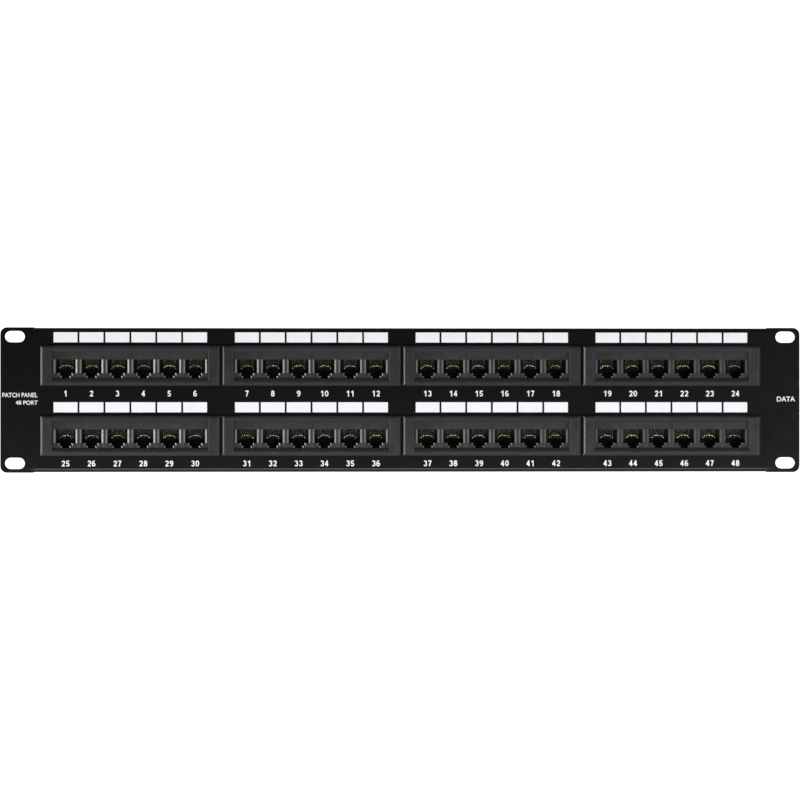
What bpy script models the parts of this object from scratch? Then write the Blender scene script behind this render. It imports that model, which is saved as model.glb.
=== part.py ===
"""A 48-port patch panel, two rack units high.

A steel sheet with folded edges carries eight six-port modules in two rows. Each module is
a bezel that snaps into a window of the sheet, a block of six jack housings, the carrier
that holds their spring contacts, a circuit board, a block of insulation-displacement
slots for the fixed cabling, and the two screws that hold the stack to the bezel.

Metres, +Z up, the front faces -Y. The origin is the middle of the sheet's rear face, the
plane that seats on the rack rails.
"""

import math

import bmesh
import bpy

MM = 0.001
GAP = 0.3 * MM
OVERSHOOT = 1.0 * MM

# Steel sheet
PANEL_WIDTH = 482.6 * MM
PANEL_HEIGHT = 87.4 * MM
SHEET = 1.5 * MM
EAR_CORNER_RADIUS = 4.0 * MM
FOLD_SPAN = 442.0 * MM
FOLD_SETBACK = 0.3 * MM
FOLD_RADIUS = 2.2 * MM
FOLD_REAR = 11.5 * MM
ARC_STEPS = 6

# Rack mounting slots, on the standard 465.1 mm by three-inch pattern of two rack units
SLOT_SPACING_X = 465.1 * MM
SLOT_SPACING_Z = 76.2 * MM
SLOT_LENGTH = 12.0 * MM
SLOT_HEIGHT = 6.8 * MM

# Module grid
MODULE_PITCH = 108.9 * MM
MODULE_COLUMNS = 4
UPPER_ROW_Z = 20.6 * MM
LOWER_ROW_Z = -21.5 * MM
PORTS_PER_MODULE = 6
PORT_PITCH = 15.55 * MM

# Bezel: a proud lip in front of the sheet and a hollow body through its window
LIP_HALF_WIDTH = 53.8 * MM
LIP_HALF_HEIGHT = 12.0 * MM
LIP_FRONT = -4.2 * MM
LIP_CHAMFER = 1.2 * MM
BODY_HALF_WIDTH = 52.0 * MM
BODY_HALF_HEIGHT = 10.1 * MM
BODY_REAR = 5.0 * MM
APERTURE_HALF_WIDTH = 46.5 * MM
APERTURE_BOTTOM = -7.6 * MM
APERTURE_TOP = 8.2 * MM
APERTURE_RIM = -2.7 * MM
APERTURE_FLARE_SIDE = 0.6 * MM
APERTURE_FLARE_BOTTOM = 1.9 * MM
APERTURE_FLARE_TOP = 1.6 * MM
BARB_OFFSET = 30.0 * MM
BARB_WIDTH = 8.0 * MM
BARB_REACH = 11.3 * MM
BARB_LENGTH = 2.8 * MM
POST_X = 49.65 * MM
POST_WIDTH = 4.1 * MM
POST_HEIGHT = 9.0 * MM
POST_REAR = 14.7 * MM
PILOT_RADIUS = 1.3 * MM
PILOT_END = 6.0 * MM

# Jack housings: six sockets in one moulding, each with a two-step latch notch below
HOUSING_HALF_WIDTH = PORTS_PER_MODULE * PORT_PITCH / 2
HOUSING_BOTTOM = -8.9 * MM
HOUSING_TOP = 8.7 * MM
HOUSING_FRONT = -1.9 * MM
HOUSING_REAR = 11.7 * MM
SOCKET_BACK = 10.5 * MM
SOCKET_HALF_WIDTH = 5.95 * MM
SOCKET_TOP = 3.7 * MM
SOCKET_BOTTOM = -4.4 * MM
NOTCH_HALF_WIDTH = 3.5 * MM
NOTCH_BOTTOM = -6.1 * MM
LATCH_HALF_WIDTH = 2.2 * MM
LATCH_BOTTOM = -7.4 * MM
MOUTH_DEPTH = 1.3 * MM
MOUTH_FLARE = 1.2 * MM
MOUTH_FLARE_TOP = 0.1 * MM
MOUTH_FLARE_BOTTOM = 0.17 * MM
MOUTH_FLARE_NOTCH = 0.5 * MM
MOUTH_FLARE_LATCH = 0.15 * MM

# Contact carrier: a plate behind the housings with a tongue above each socket's cavity
TONGUE_HALF_WIDTH = 4.3 * MM
TONGUE_BOTTOM = 4.0 * MM
TONGUE_TOP = 5.3 * MM
TONGUE_FRONT = 1.5 * MM
CARRIER_FRONT = HOUSING_REAR + GAP
CARRIER_REAR = 14.7 * MM

# Circuit board
BOARD_HALF_WIDTH = 53.3 * MM
BOARD_HALF_HEIGHT = 17.0 * MM
BOARD_FRONT = CARRIER_REAR + GAP
BOARD_THICKNESS = 1.6 * MM
BOARD_HOLE_RADIUS = 1.6 * MM

# Termination block: a base with two combs of slots
BLOCK_HALF_WIDTH = 46.4 * MM
BLOCK_HALF_HEIGHT = 13.0 * MM
BLOCK_FRONT = BOARD_FRONT + BOARD_THICKNESS + GAP
BLOCK_BASE = 3.5 * MM
COMB_CENTRE = 9.5 * MM
COMB_THICKNESS = 6.0 * MM
COMB_HEIGHT = 10.0 * MM
COMB_SLOTS = 24
COMB_SLOT_WIDTH = 1.1 * MM
COMB_SLOT_DEPTH = 8.5 * MM

# Screws through the board into the bezel's posts
SCREW_HEAD_RADIUS = 2.6 * MM
SCREW_HEAD_HEIGHT = 1.9 * MM
SCREW_CROWN_RADIUS = 1.7 * MM
SCREW_CROWN_HEIGHT = 1.2 * MM
SCREW_SHAFT_RADIUS = 1.0 * MM
SCREW_TIP = 6.5 * MM
ROUND_STEPS = 10

MODEL = "patch_panel"
CUTTERS = "cutters"


def clear_scene():
    """Remove whatever the scene holds and make the model's and the cutters' collections."""
    for thing in list(bpy.data.objects):
        bpy.data.objects.remove(thing, do_unlink=True)
    for name in (MODEL, CUTTERS):
        bpy.context.scene.collection.children.link(bpy.data.collections.new(name))


def material(name, colour, roughness, metallic=0.0):
    """A Principled material of one colour."""
    made = bpy.data.materials.new(name)
    made.use_nodes = True
    surface = made.node_tree.nodes["Principled BSDF"]
    surface.inputs["Base Color"].default_value = (*colour, 1.0)
    surface.inputs["Roughness"].default_value = roughness
    surface.inputs["Metallic"].default_value = metallic
    return made


def add_object(name, mesh, collection=MODEL):
    """Put a mesh in a collection as an object."""
    thing = bpy.data.objects.new(name, mesh)
    bpy.data.collections[collection].objects.link(thing)
    return thing


def add_cutter(name, mesh):
    """A shape that only cuts or joins others, kept out of the model."""
    cutter = add_object(name, mesh, CUTTERS)
    cutter.hide_render = True
    cutter.display_type = "WIRE"
    return cutter


def finished_mesh(thing, name):
    """The mesh of an object as its modifiers leave it; the object is removed."""
    evaluated = thing.evaluated_get(bpy.context.evaluated_depsgraph_get())
    mesh = bpy.data.meshes.new_from_object(evaluated)
    mesh.name = name
    bpy.data.objects.remove(thing, do_unlink=True)
    return mesh


def combine(name, base, steps):
    """Join or cut a base mesh with further meshes, given as (operation, mesh) pairs."""
    thing = add_object(name, base)
    for number, (operation, mesh) in enumerate(steps):
        modifier = thing.modifiers.new(f"step_{number}", "BOOLEAN")
        modifier.operation = operation
        modifier.object = add_cutter(f"{name}_step_{number}", mesh)
    return finished_mesh(thing, name)


def boxes(name, corners):
    """One mesh of separate boxes, each given by its low and high corner."""
    shape = bmesh.new()
    for low, high in corners:
        made = bmesh.ops.create_cube(shape, size=1.0)["verts"]
        for vert in made:
            for axis in range(3):
                vert.co[axis] = high[axis] if vert.co[axis] > 0 else low[axis]
    mesh = bpy.data.meshes.new(name)
    shape.to_mesh(mesh)
    shape.free()
    return mesh


def rectangle(half_width, bottom, top):
    """A rectangle's (x, z) corners."""
    return [(-half_width, bottom), (half_width, bottom), (half_width, top), (-half_width, top)]


def lofts(name, shapes):
    """One mesh of separate solids, each a list of (y, outline) sections with flat ends."""
    shape = bmesh.new()
    for sections in shapes:
        rings = [[shape.verts.new((x, y, z)) for x, z in outline] for y, outline in sections]
        count = len(rings[0])
        for near, far in zip(rings, rings[1:]):
            for i in range(count):
                j = (i + 1) % count
                shape.faces.new((near[i], near[j], far[j], far[i]))
        shape.faces.new(rings[0])
        shape.faces.new(rings[-1])
    bmesh.ops.recalc_face_normals(shape, faces=shape.faces)
    mesh = bpy.data.meshes.new(name)
    shape.to_mesh(mesh)
    shape.free()
    return mesh


def rods(name, places, radius, front, rear):
    """One mesh of separate round rods along Y, at the (x, z) places."""
    shape = bmesh.new()
    for x, z in places:
        made = bmesh.ops.create_cone(
            shape, cap_ends=True, segments=ROUND_STEPS, radius1=radius, radius2=radius, depth=rear - front
        )["verts"]
        for vert in made:
            vert.co = (vert.co.x + x, vert.co.z + (front + rear) / 2, z - vert.co.y)
    mesh = bpy.data.meshes.new(name)
    shape.to_mesh(mesh)
    shape.free()
    return mesh


def arc(centre, radius, start, end, steps=ARC_STEPS):
    """Points on an arc, with its ends, for angles in degrees."""
    angles = [math.radians(start + (end - start) * i / steps) for i in range(steps + 1)]
    return [(centre[0] + radius * math.cos(a), centre[1] + radius * math.sin(a)) for a in angles]


def flat_outline(name, outlines, thickness, rotation):
    """A flat sheet from 2D outlines, later ones being holes, centred on its thickness."""
    curve = bpy.data.curves.new(name, "CURVE")
    curve.dimensions = "2D"
    curve.fill_mode = "BOTH"
    curve.extrude = thickness / 2
    for points in outlines:
        spline = curve.splines.new("POLY")
        spline.points.add(len(points) - 1)
        for point, (u, v) in zip(spline.points, points):
            point.co = (u, v, 0.0, 1.0)
        spline.use_cyclic_u = True
    thing = add_object(name, curve)
    thing.rotation_euler = rotation
    bpy.context.view_layer.update()
    place = thing.matrix_world.copy()
    mesh = finished_mesh(thing, name)
    mesh.transform(place)
    shape = bmesh.new()
    shape.from_mesh(mesh)
    bmesh.ops.remove_doubles(shape, verts=shape.verts, dist=0.01 * MM)
    bmesh.ops.recalc_face_normals(shape, faces=shape.faces)
    shape.to_mesh(mesh)
    shape.free()
    return mesh


def module_centres():
    """Each module's number and centre (x, z), the upper row first, from the left."""
    first = -MODULE_PITCH * (MODULE_COLUMNS - 1) / 2
    number = 0
    for z in (UPPER_ROW_Z, LOWER_ROW_Z):
        for column in range(MODULE_COLUMNS):
            number += 1
            yield number, first + column * MODULE_PITCH, z


def port_offsets():
    """The x of each port's centre, from its module's centre."""
    return [(port - (PORTS_PER_MODULE - 1) / 2) * PORT_PITCH for port in range(PORTS_PER_MODULE)]


def sheet_outline():
    """The flat part of the panel: full-height ears and a middle that stops at the folds."""
    half_width = PANEL_WIDTH / 2
    half_height = PANEL_HEIGHT / 2
    fold_half = FOLD_SPAN / 2
    flat_half_height = half_height - FOLD_SETBACK - FOLD_RADIUS
    corner_x = half_width - EAR_CORNER_RADIUS
    corner_z = half_height - EAR_CORNER_RADIUS
    upper_right = arc((corner_x, corner_z), EAR_CORNER_RADIUS, 0, 90)
    upper_right += [(fold_half, half_height), (fold_half, flat_half_height)]
    upper_left = [(-x, z) for x, z in reversed(upper_right)]
    upper = upper_right + upper_left
    return upper + [(-x, -z) for x, z in upper]


def slot_outline(x, z):
    """A rack mounting slot with round ends."""
    radius = SLOT_HEIGHT / 2
    reach = SLOT_LENGTH / 2 - radius
    return arc((x + reach, z), radius, -90, 90) + arc((x - reach, z), radius, 90, 270)


def window_outline(x, z):
    """The hole in the sheet that a bezel's body passes through."""
    half_width = BODY_HALF_WIDTH + GAP
    half_height = BODY_HALF_HEIGHT + GAP
    return [(x + u, z + v) for u, v in rectangle(half_width, -half_height, half_height)]


def fold_edge(shape, side):
    """Bend the sheet's upper (side 1) or lower (side -1) edge back and draw out its flange."""
    bend_z = side * (PANEL_HEIGHT / 2 - FOLD_SETBACK - FOLD_RADIUS)
    edge_faces = [
        face
        for face in shape.faces
        if all(abs(vert.co.z - bend_z) < GAP and abs(vert.co.x) < FOLD_SPAN / 2 + GAP for vert in face.verts)
    ]
    bent = bmesh.ops.spin(
        shape,
        geom=edge_faces,
        axis=(1.0, 0.0, 0.0),
        cent=(0.0, FOLD_RADIUS - SHEET, bend_z),
        angle=-side * math.pi / 2,
        steps=ARC_STEPS,
        use_duplicate=False,
    )["geom_last"]
    bent_faces = [item for item in bent if isinstance(item, bmesh.types.BMFace)]
    drawn = bmesh.ops.extrude_face_region(shape, geom=bent_faces)["geom"]
    bmesh.ops.delete(shape, geom=edge_faces + bent_faces, context="FACES")
    for item in drawn:
        if isinstance(item, bmesh.types.BMVert):
            item.co.y = FOLD_REAR


def front_panel():
    """The steel sheet with its windows, slots and two folded edges."""
    half_x = SLOT_SPACING_X / 2
    half_z = SLOT_SPACING_Z / 2
    slots = [slot_outline(x, z) for x in (-half_x, half_x) for z in (-half_z, half_z)]
    windows = [window_outline(x, z) for _, x, z in module_centres()]
    mesh = flat_outline("front_panel", [sheet_outline()] + slots + windows, SHEET, (math.pi / 2, 0.0, 0.0))
    shape = bmesh.new()
    shape.from_mesh(mesh)
    bmesh.ops.translate(shape, verts=shape.verts, vec=(0.0, -SHEET / 2, 0.0))
    for side in (-1, 1):
        fold_edge(shape, side)
    bmesh.ops.recalc_face_normals(shape, faces=shape.faces)
    shape.to_mesh(mesh)
    shape.free()
    return mesh


def bezel():
    """The front frame of a module: lip, hollow body, snap barbs and screw posts."""
    lip_back = -SHEET - GAP
    face_height = LIP_HALF_HEIGHT - LIP_CHAMFER
    face = rectangle(LIP_HALF_WIDTH - LIP_CHAMFER, -face_height, face_height)
    lip = rectangle(LIP_HALF_WIDTH, -LIP_HALF_HEIGHT, LIP_HALF_HEIGHT)
    body = rectangle(BODY_HALF_WIDTH, -BODY_HALF_HEIGHT, BODY_HALF_HEIGHT)
    outside = lofts(
        "bezel_outside",
        [
            [
                (LIP_FRONT, face),
                (LIP_FRONT + LIP_CHAMFER, lip),
                (lip_back, lip),
                (lip_back, body),
                (BODY_REAR, body),
            ]
        ],
    )

    barb_root = BODY_HALF_HEIGHT - OVERSHOOT
    barb_shapes = []
    for x in (-BARB_OFFSET, BARB_OFFSET):
        for side in (-1, 1):
            outlines = [
                [(x + u, side * v) for u, v in rectangle(BARB_WIDTH / 2, barb_root, reach)]
                for reach in (BARB_REACH, BODY_HALF_HEIGHT - GAP)
            ]
            barb_shapes.append([(GAP, outlines[0]), (BARB_LENGTH, outlines[1])])
    barbs = lofts("bezel_barbs", barb_shapes)

    half_post = POST_WIDTH / 2
    posts = boxes(
        "bezel_posts",
        [
            (
                (x - half_post, BODY_REAR - OVERSHOOT, -POST_HEIGHT / 2),
                (x + half_post, POST_REAR, POST_HEIGHT / 2),
            )
            for x in (-POST_X, POST_X)
        ],
    )

    flare = rectangle(
        APERTURE_HALF_WIDTH + APERTURE_FLARE_SIDE,
        APERTURE_BOTTOM - APERTURE_FLARE_BOTTOM,
        APERTURE_TOP + APERTURE_FLARE_TOP,
    )
    aperture = rectangle(APERTURE_HALF_WIDTH, APERTURE_BOTTOM, APERTURE_TOP)
    seat = rectangle(HOUSING_HALF_WIDTH + GAP, HOUSING_BOTTOM - GAP, HOUSING_TOP + GAP)
    seat_front = HOUSING_FRONT - GAP
    opening = lofts(
        "bezel_opening",
        [
            [
                (LIP_FRONT - OVERSHOOT, flare),
                (LIP_FRONT, flare),
                (APERTURE_RIM, aperture),
                (seat_front, aperture),
                (seat_front, seat),
                (BODY_REAR + OVERSHOOT, seat),
            ]
        ],
    )
    post_centres = [(-POST_X, 0.0), (POST_X, 0.0)]
    pilots = rods("bezel_pilots", post_centres, PILOT_RADIUS, PILOT_END, POST_REAR + OVERSHOOT)
    return combine(
        "bezel",
        outside,
        [("UNION", barbs), ("UNION", posts), ("DIFFERENCE", opening), ("DIFFERENCE", pilots)],
    )


def socket_outline(x, widths, levels):
    """A socket in section: a wide cavity over a notch over a narrower latch recess."""
    socket, notch, latch = widths
    top, bottom, notch_bottom, latch_bottom = levels
    right = [
        (latch, latch_bottom),
        (latch, notch_bottom),
        (notch, notch_bottom),
        (notch, bottom),
        (socket, bottom),
        (socket, top),
    ]
    return [(x + u, v) for u, v in right] + [(x - u, v) for u, v in reversed(right)]


def jack_housing():
    """Six sockets in one block, each with a flared mouth and a channel over it for its contacts."""
    block = boxes(
        "housing_block",
        [
            (
                (-HOUSING_HALF_WIDTH, HOUSING_FRONT, HOUSING_BOTTOM),
                (HOUSING_HALF_WIDTH, HOUSING_REAR, HOUSING_TOP),
            )
        ],
    )
    widths = (SOCKET_HALF_WIDTH, NOTCH_HALF_WIDTH, LATCH_HALF_WIDTH)
    levels = (SOCKET_TOP, SOCKET_BOTTOM, NOTCH_BOTTOM, LATCH_BOTTOM)
    mouth_widths = (
        SOCKET_HALF_WIDTH + MOUTH_FLARE,
        NOTCH_HALF_WIDTH + MOUTH_FLARE_NOTCH,
        LATCH_HALF_WIDTH + MOUTH_FLARE_NOTCH,
    )
    mouth_levels = (
        SOCKET_TOP + MOUTH_FLARE_TOP,
        SOCKET_BOTTOM - MOUTH_FLARE_BOTTOM,
        NOTCH_BOTTOM - MOUTH_FLARE_LATCH,
        LATCH_BOTTOM - MOUTH_FLARE_LATCH,
    )
    socket_shapes = []
    channel_boxes = []
    for x in port_offsets():
        mouth = socket_outline(x, mouth_widths, mouth_levels)
        cavity = socket_outline(x, widths, levels)
        socket_shapes.append(
            [
                (HOUSING_FRONT - OVERSHOOT, mouth),
                (HOUSING_FRONT, mouth),
                (HOUSING_FRONT + MOUTH_DEPTH, cavity),
                (SOCKET_BACK, cavity),
            ]
        )
        channel_boxes.append(
            (
                (x - TONGUE_HALF_WIDTH - GAP, TONGUE_FRONT - GAP, SOCKET_TOP - GAP),
                (x + TONGUE_HALF_WIDTH + GAP, HOUSING_REAR + OVERSHOOT, TONGUE_TOP + GAP),
            )
        )
    sockets = lofts("sockets", socket_shapes)
    channels = boxes("contact_channels", channel_boxes)
    return combine("jack_housing", block, [("DIFFERENCE", sockets), ("DIFFERENCE", channels)])


def contact_carrier():
    """The plate behind the housings and the tongue that holds each socket's contacts."""
    plate = boxes(
        "carrier_plate",
        [
            (
                (-HOUSING_HALF_WIDTH, CARRIER_FRONT, HOUSING_BOTTOM),
                (HOUSING_HALF_WIDTH, CARRIER_REAR, HOUSING_TOP),
            )
        ],
    )
    tongues = boxes(
        "carrier_tongues",
        [
            (
                (x - TONGUE_HALF_WIDTH, TONGUE_FRONT, TONGUE_BOTTOM),
                (x + TONGUE_HALF_WIDTH, CARRIER_FRONT + OVERSHOOT, TONGUE_TOP),
            )
            for x in port_offsets()
        ],
    )
    return combine("contact_carrier", plate, [("UNION", tongues)])


def circuit_board():
    """The board that joins the spring contacts to the termination slots."""
    rear = BOARD_FRONT + BOARD_THICKNESS
    blank = boxes(
        "board_blank",
        [
            (
                (-BOARD_HALF_WIDTH, BOARD_FRONT, -BOARD_HALF_HEIGHT),
                (BOARD_HALF_WIDTH, rear, BOARD_HALF_HEIGHT),
            )
        ],
    )
    centres = [(-POST_X, 0.0), (POST_X, 0.0)]
    holes = rods("board_holes", centres, BOARD_HOLE_RADIUS, BOARD_FRONT - OVERSHOOT, rear + OVERSHOOT)
    return combine("circuit_board", blank, [("DIFFERENCE", holes)])


def termination_block():
    """The base with two combs, whose slots take the conductors of the fixed cabling."""
    base_rear = BLOCK_FRONT + BLOCK_BASE
    comb_rear = base_rear + COMB_HEIGHT
    base = boxes(
        "block_base",
        [
            (
                (-BLOCK_HALF_WIDTH, BLOCK_FRONT, -BLOCK_HALF_HEIGHT),
                (BLOCK_HALF_WIDTH, base_rear, BLOCK_HALF_HEIGHT),
            )
        ],
    )
    half_comb = COMB_THICKNESS / 2
    combs = boxes(
        "block_combs",
        [
            (
                (-BLOCK_HALF_WIDTH, base_rear - OVERSHOOT, z - half_comb),
                (BLOCK_HALF_WIDTH, comb_rear, z + half_comb),
            )
            for z in (-COMB_CENTRE, COMB_CENTRE)
        ],
    )
    slot_pitch = 2 * HOUSING_HALF_WIDTH / COMB_SLOTS
    slots = []
    for slot in range(COMB_SLOTS):
        x = (slot - (COMB_SLOTS - 1) / 2) * slot_pitch
        slots.append(
            (
                (x - COMB_SLOT_WIDTH / 2, comb_rear - COMB_SLOT_DEPTH, -BLOCK_HALF_HEIGHT),
                (x + COMB_SLOT_WIDTH / 2, comb_rear + OVERSHOOT, BLOCK_HALF_HEIGHT),
            )
        )
    return combine(
        "termination_block", base, [("UNION", combs), ("DIFFERENCE", boxes("block_slots", slots))]
    )


def screw():
    """A turned pan-head screw, its axis along Y and its head to the rear."""
    seat = BLOCK_FRONT
    profile = [
        (0.0, seat + SCREW_HEAD_HEIGHT),
        (SCREW_CROWN_RADIUS, seat + SCREW_HEAD_HEIGHT),
        (SCREW_HEAD_RADIUS, seat + SCREW_CROWN_HEIGHT),
        (SCREW_HEAD_RADIUS, seat),
        (SCREW_SHAFT_RADIUS, seat),
        (SCREW_SHAFT_RADIUS, SCREW_TIP),
        (0.0, SCREW_TIP),
    ]
    mesh = bpy.data.meshes.new("screw_profile")
    edges = [(i, i + 1) for i in range(len(profile) - 1)]
    mesh.from_pydata([(radius, 0.0, height) for radius, height in profile], edges, [])
    thing = add_object("screw", mesh)
    turn = thing.modifiers.new("turn", "SCREW")
    turn.axis = "Z"
    turn.steps = ROUND_STEPS
    turn.render_steps = ROUND_STEPS
    turn.use_merge_vertices = True
    turn.merge_threshold = 0.01 * MM
    turned = finished_mesh(thing, "screw")
    for vert in turned.vertices:
        vert.co = (vert.co.x, vert.co.z, -vert.co.y)
    return turned


def main():
    clear_scene()
    powder_coat = material("black_powder_coat", (0.012, 0.012, 0.014), 0.45)
    bezel_plastic = material("bezel_plastic", (0.045, 0.045, 0.048), 0.5)
    jack_plastic = material("jack_plastic", (0.02, 0.02, 0.021), 0.42)
    carrier_plastic = material("carrier_plastic", (0.012, 0.012, 0.012), 0.5)
    board_green = material("board_green", (0.01, 0.09, 0.035), 0.35)
    block_plastic = material("block_plastic", (0.03, 0.03, 0.032), 0.5)
    zinc = material("zinc_plate", (0.62, 0.62, 0.6), 0.35, 1.0)

    panel = add_object("front_panel", front_panel())
    panel.data.materials.append(powder_coat)

    pieces = [
        ("bezel", bezel(), bezel_plastic),
        ("jack_housing", jack_housing(), jack_plastic),
        ("contact_carrier", contact_carrier(), carrier_plastic),
        ("circuit_board", circuit_board(), board_green),
        ("termination_block", termination_block(), block_plastic),
    ]
    for _, mesh, look in pieces:
        mesh.materials.append(look)
    screw_mesh = screw()
    screw_mesh.materials.append(zinc)
    for number, x, z in module_centres():
        for name, mesh, _ in pieces:
            add_object(f"{name}_{number}", mesh).location = (x, 0.0, z)
        for side, offset in (("left", -POST_X), ("right", POST_X)):
            add_object(f"screw_{number}_{side}", screw_mesh).location = (x + offset, 0.0, z)


main()
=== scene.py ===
"""The looks of the 48-port patch panel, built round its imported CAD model.

Metres, +Z up, the front faces -Y. A module's pieces are made once, with x and z counted
from the centre of its bezel, and then placed at each of the eight modules.
"""

import math

import bmesh
import bpy
from mathutils import Matrix, Vector


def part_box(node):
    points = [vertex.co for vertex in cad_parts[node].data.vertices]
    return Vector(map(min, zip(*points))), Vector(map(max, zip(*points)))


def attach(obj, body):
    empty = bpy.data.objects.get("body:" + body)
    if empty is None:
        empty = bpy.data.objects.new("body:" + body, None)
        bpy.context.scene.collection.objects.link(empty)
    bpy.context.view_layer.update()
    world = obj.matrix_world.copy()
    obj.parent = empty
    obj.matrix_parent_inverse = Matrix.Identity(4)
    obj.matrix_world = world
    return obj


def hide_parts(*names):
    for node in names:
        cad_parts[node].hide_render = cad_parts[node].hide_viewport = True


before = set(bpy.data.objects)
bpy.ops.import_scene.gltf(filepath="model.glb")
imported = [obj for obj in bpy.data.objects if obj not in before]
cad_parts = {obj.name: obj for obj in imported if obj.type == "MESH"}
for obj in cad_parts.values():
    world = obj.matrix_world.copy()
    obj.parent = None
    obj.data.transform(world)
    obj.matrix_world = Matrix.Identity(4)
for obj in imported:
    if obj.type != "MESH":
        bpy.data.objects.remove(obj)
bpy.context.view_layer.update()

MM = 0.001
BODY = "root"
MODULES = 8
PORTS = 6
OVERSHOOT = 1.0 * MM

# Widths of the softened edges, and the angles in degrees from which an edge is softened
EDGE_SEGMENTS = 2
EDGE_ANGLE = 30.0
SCREW_EDGE_ANGLE = 40.0
WELD_DISTANCE = 0.001 * MM
JACK_EDGE = 0.09 * MM
COMB_EDGE = 0.12 * MM
SCREW_EDGE = 0.05 * MM
PANEL_EDGE = 0.12 * MM
BEZEL_EDGE = 0.12 * MM
CARRIER_EDGE = 0.1 * MM
BOARD_EDGE = 0.08 * MM

# Sockets of the jack blocks, a wide cavity over a notch over a latch recess
SOCKET_HALF_WIDTH = 6.05 * MM
SOCKET_TOP = 3.7 * MM
SOCKET_BOTTOM = -4.4 * MM
NOTCH_HALF_WIDTH = 3.5 * MM
NOTCH_BOTTOM = -6.1 * MM
LATCH_HALF_WIDTH = 2.2 * MM
LATCH_BOTTOM = -7.4 * MM
SOCKET_BACK = 10.5 * MM
MOUTH_DEPTH = 0.62 * MM
MOUTH_HALF_WIDTH = 7.05 * MM
MOUTH_TOP = 3.8 * MM
MOUTH_BOTTOM = -4.5 * MM
MOUTH_NOTCH_SPREAD = 0.02 * MM
MOUTH_NOTCH_DROP = 0.05 * MM
RAMP_DEPTH = 0.5 * MM
RAMP_WIDTH = 0.7 * MM
RAMP_SPLAY = 0.1 * MM
RAMP_OVERLAP = 0.2 * MM
CHANNEL_HALF_WIDTH = 4.6 * MM
CHANNEL_FRONT = 1.2 * MM
CHANNEL_TOP = 5.6 * MM
CHANNEL_OVERLAP = 0.3 * MM
DIVIDER_HALF_WIDTH = 0.64 * MM
GROOVE_WIDTH = 0.16 * MM
GROOVE_DEPTH = 0.22 * MM
GROOVE_GAP_ABOVE = 0.25 * MM
GROOVE_GAP_BELOW = 0.3 * MM

# Spring contacts. The path is in (y, z) millimetres, and its first points stay in the carrier
# while the rest hangs lower the further a contact is from the middle two.
CONTACTS = 8
CONTACT_PITCH = 1.02 * MM
CONTACT_HALF_WIDTH = 0.29 * MM
CONTACT_HALF_THICKNESS = 0.17 * MM
CONTACT_PATH = [
    (6.2, 4.6), (5.8, 3.7), (4.7, 2.3), (3.3, 0.85), (2.75, 0.3), (2.9, -0.05), (3.8, 0.05), (6.6, 0.7),
]
CONTACT_HELD = 2
CONTACT_ARCH = 0.22
CONTACT_ARCH_START = 1.0
WIRE_SIDES = 8
WIRE_STEPS = 4

# Printing on the sheet
INK = 0.04 * MM
LABEL_WIDTH = 14.35 * MM
LABEL_HEIGHT = 6.1 * MM
LABEL_RISE = 17.1 * MM
NUMBER_HEIGHT = 3.55 * MM
NUMBER_DROP = 16.7 * MM
TEXT_SEGMENTS = 4

# Words on the ears: each one's middle x and z, height, stroke weight, and width where it is stretched
EAR_WORDS = [
    ("PATCH PANEL", -229.5 * MM, 3.0 * MM, 2.7 * MM, 0.012, 21.0 * MM),
    ("48 PORT", -225.5 * MM, -1.6 * MM, 2.5 * MM, 0.012, None),
    ("DATA", 233.0 * MM, 0.6 * MM, 3.0 * MM, 0.015, None),
]

# Digits, in heights of a digit
DIGIT_WIDTH = 0.64
DIGIT_ADVANCE = 0.75
DIGIT_STROKE = 0.18
ARC_STEP = 20.0

# Termination combs, and the forked blades in their slots
COMB_SLOTS = 24
COMB_CENTRE = 9.5 * MM
COMB_WALL = 1.9 * MM
COMB_HALF_DEPTH = 3.0 * MM
COMB_BASE = 3.5 * MM
COMB_FLOOR = 1.5 * MM
COMB_END = 1.0 * MM
COMB_END_DROP = 3.4 * MM
WIRE_SLOT = 1.1 * MM
TOOTH_POINT = 1.3 * MM
SHORT_TOOTH_DROP = 1.9 * MM
BLADE_TURN = 32.0
BLADE_DROP = 3.6 * MM
BLADE_HALF_WIDTH = 1.15 * MM
BLADE_HALF_THICKNESS = 0.2 * MM
BLADE_SHOULDER = 0.8 * MM
BLADE_MOUTH = 1.2 * MM
BLADE_ROOT = 2.0 * MM
BLADE_SLIT = 0.17 * MM

# Paper strips between the combs, with a colour mark at each slot
PAIR_COLOURS = ("pair_blue", "pair_orange", "pair_green", "pair_brown")
STRIP_MARGIN = 1.0 * MM
STRIP_HALF_HEIGHT = 5.6 * MM
STRIP_THICKNESS = 0.25 * MM
STRIP_NUMBER_HEIGHT = 2.8 * MM
MARK_HALF_WIDTH = 1.6 * MM
MARK_OUTER = 5.3 * MM
LONG_MARK_INNER = 3.1 * MM
SHORT_MARK_INNER = 4.3 * MM

# Traces, vias and solder joints of the boards
TRACE_HALF_WIDTH = 0.14 * MM
TRACE_THICKNESS = 0.05 * MM
TRACE_START = 0.2 * MM
TRACE_REACH = 1.4 * MM
TRACE_STEP = 0.55 * MM
TRACE_LENGTHS = 4
VIA_RADIUS = 0.38 * MM
VIA_TOP_RADIUS = 0.33 * MM
VIA_HEIGHT = 0.09 * MM
JOINT_OFFSET = 0.3 * MM
JOINT_RADIUS = 0.75 * MM
JOINT_TOP_RADIUS = 0.4 * MM
JOINT_HEIGHT = 0.35 * MM
PIN_RADIUS = 0.28 * MM
PIN_TIP_RADIUS = 0.2 * MM
PIN_HEIGHT = 1.0 * MM
DISC_SIDES = 10

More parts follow.
